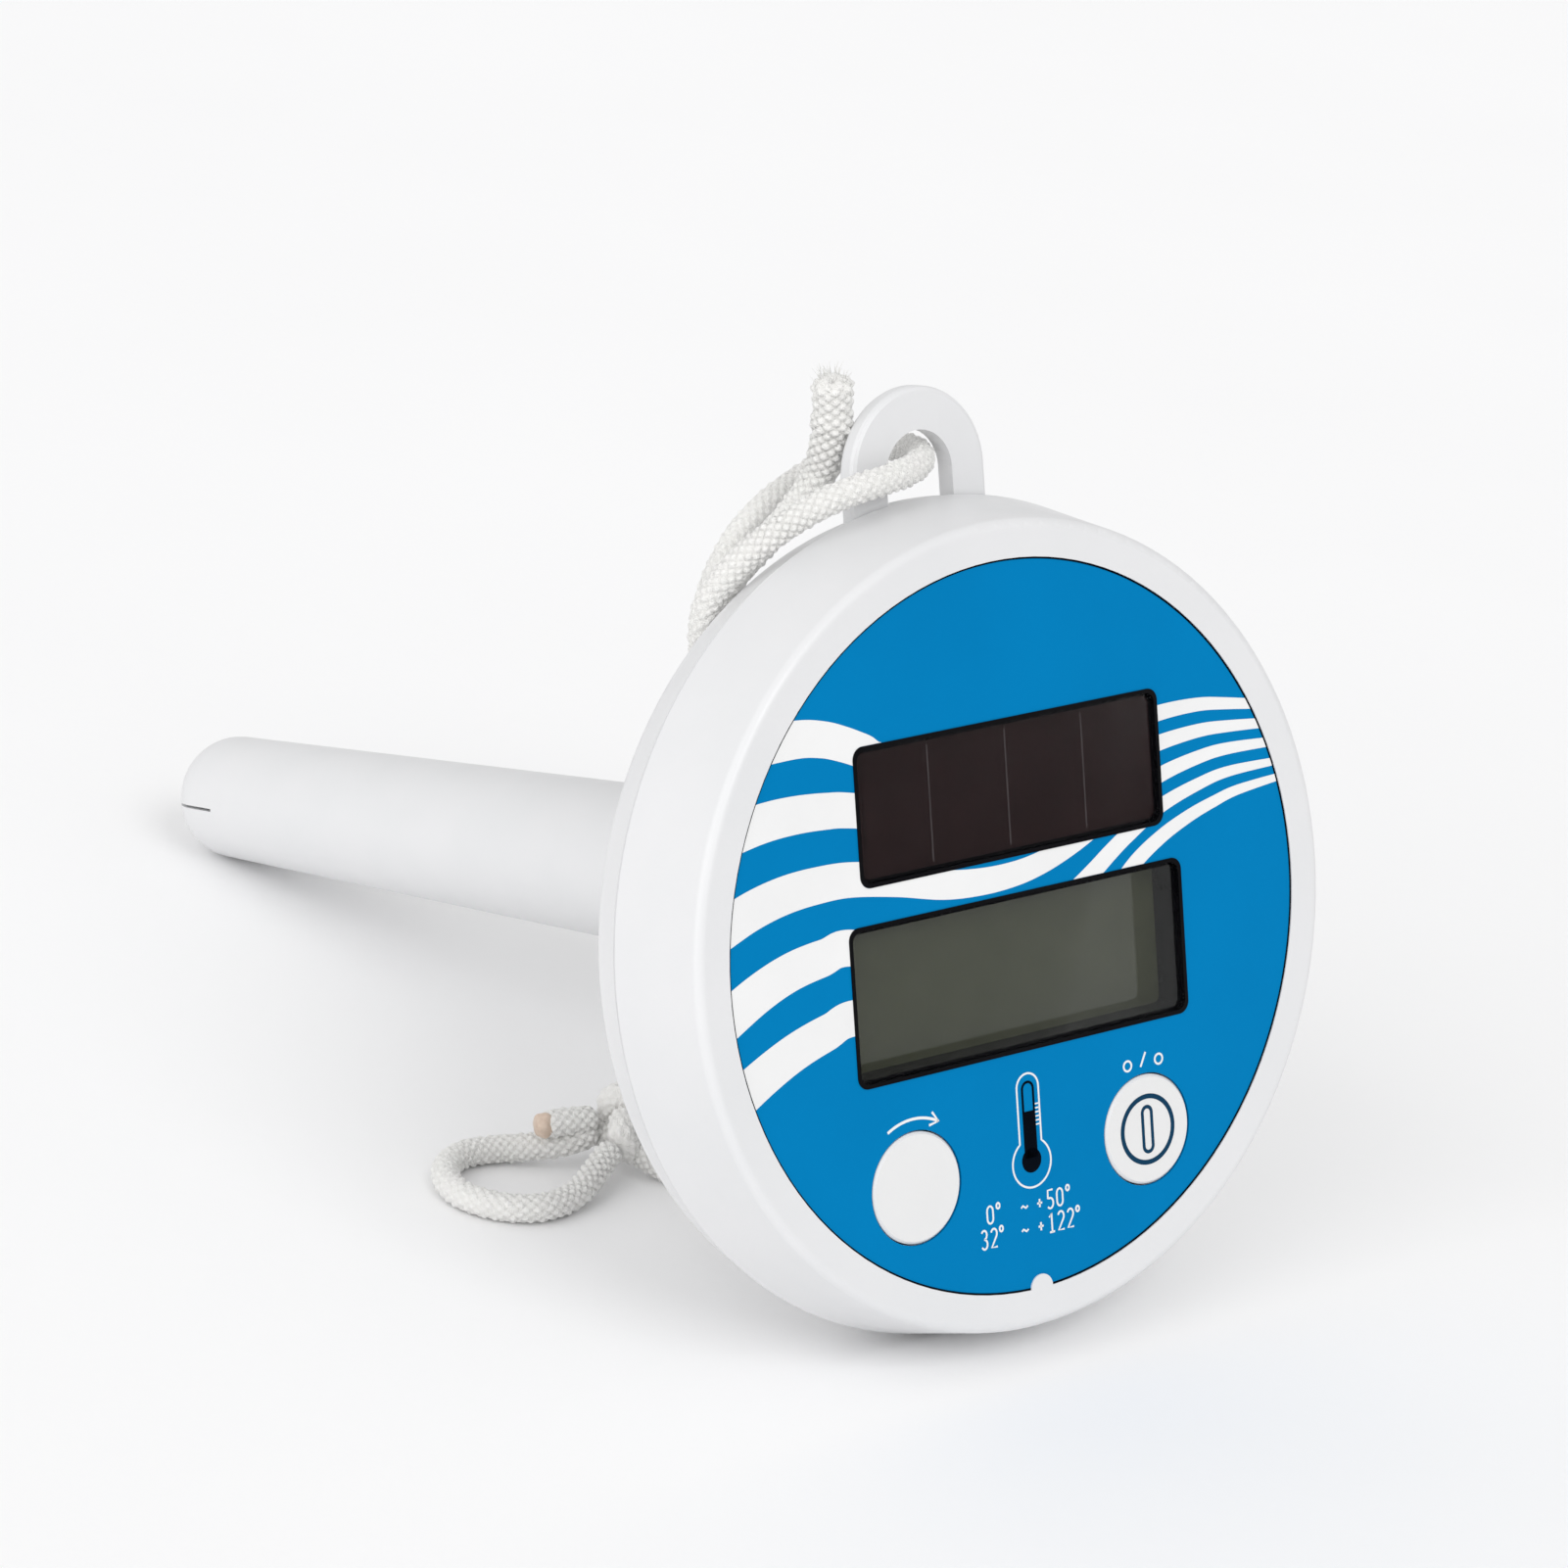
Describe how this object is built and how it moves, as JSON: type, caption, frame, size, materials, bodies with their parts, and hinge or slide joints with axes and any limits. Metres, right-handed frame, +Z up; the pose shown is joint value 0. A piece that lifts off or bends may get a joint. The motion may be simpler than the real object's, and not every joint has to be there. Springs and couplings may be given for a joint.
{
  "type": "floating pool thermometer",
  "caption": "Floating solar pool thermometer: a round head with a display and two push buttons on a tapered probe stem, with a braided tether tied to a lug.",
  "frame": {"origin": "centre of the underside of the bounding box, on the ground that the head's rim and the stem's tip rest on, tether left out", "axes": "+Z up, +Y from the head towards the stem's tip, +X to the right of a person who looks at the label"},
  "size_m": [0.1012, 0.1768, 0.1118],
  "materials": {
    "shell_plastic": "white ABS, fine satin gloss",
    "label_print": "printed polycarbonate overlay, satin gloss",
    "frame_black": "glossy black",
    "clear_window": "clear acrylic, polished",
    "cell_wafer": "dark amorphous silicon under resin",
    "lcd_panel": "olive grey liquid crystal panel",
    "reflector_foil": "matt foil",
    "holder_plastic": "white ABS, matt",
    "silicone": "translucent grey silicone",
    "seal_rubber": "dark rubber",
    "board_laminate": "green solder mask",
    "steel": "plain steel",
    "cell_can": "nickel-plated steel",
    "chip_epoxy": "black epoxy",
    "black_nylon": "black nylon",
    "lead_pvc": "red PVC",
    "tether_braid": "braided polyester, ivory",
    "melted_end": "melted brown cord end"
  },
  "bodies": {
    "thermometer": {"front_shell": "shell_plastic", "back_shell": "shell_plastic", "shell_gasket": "seal_rubber", "face_label": "label_print", "solar_frame": "frame_black", "solar_window": "clear_window", "solar_cell": "cell_wafer", "solar_leads": "lead_pvc", "lcd_frame": "frame_black", "lcd_window": "clear_window", "lcd_glass": "lcd_panel", "lcd_reflector": "reflector_foil", "lcd_holder": "holder_plastic", "zebra_strips": "silicone", "circuit_board": "board_laminate", "board_screws": "steel", "controller_chip": "chip_epoxy", "battery": "cell_can", "battery_holder": "black_nylon", "reset_switch": "black_nylon", "unit_switch": "black_nylon", "key_mat": "silicone", "stem_tube": "shell_plastic", "stem_seal": "seal_rubber", "ballast_weight": "steel", "probe_plug": "seal_rubber", "probe_bead": "chip_epoxy", "probe_leads": "lead_pvc", "tether_cord": "tether_braid", "hitch_knot": "tether_braid", "tether_tail": "tether_braid", "loop_knot": "tether_braid", "tether_loop": "tether_braid", "loop_stub": "melted_end"},
    "reset_button": {"reset_button": "shell_plastic"},
    "unit_button": {"unit_button": "shell_plastic"}
  },
  "joints": [
    {"name": "reset_press", "type": "slide", "parent": "thermometer", "child": "reset_button", "axis": [0, 0.9628, -0.2702], "range_m": [0, 0.0008], "stiffness_N_per_m": 1500},
    {"name": "unit_press", "type": "slide", "parent": "thermometer", "child": "unit_button", "axis": [0, 0.9628, -0.2702], "range_m": [0, 0.0008], "stiffness_N_per_m": 1500}
  ]
}
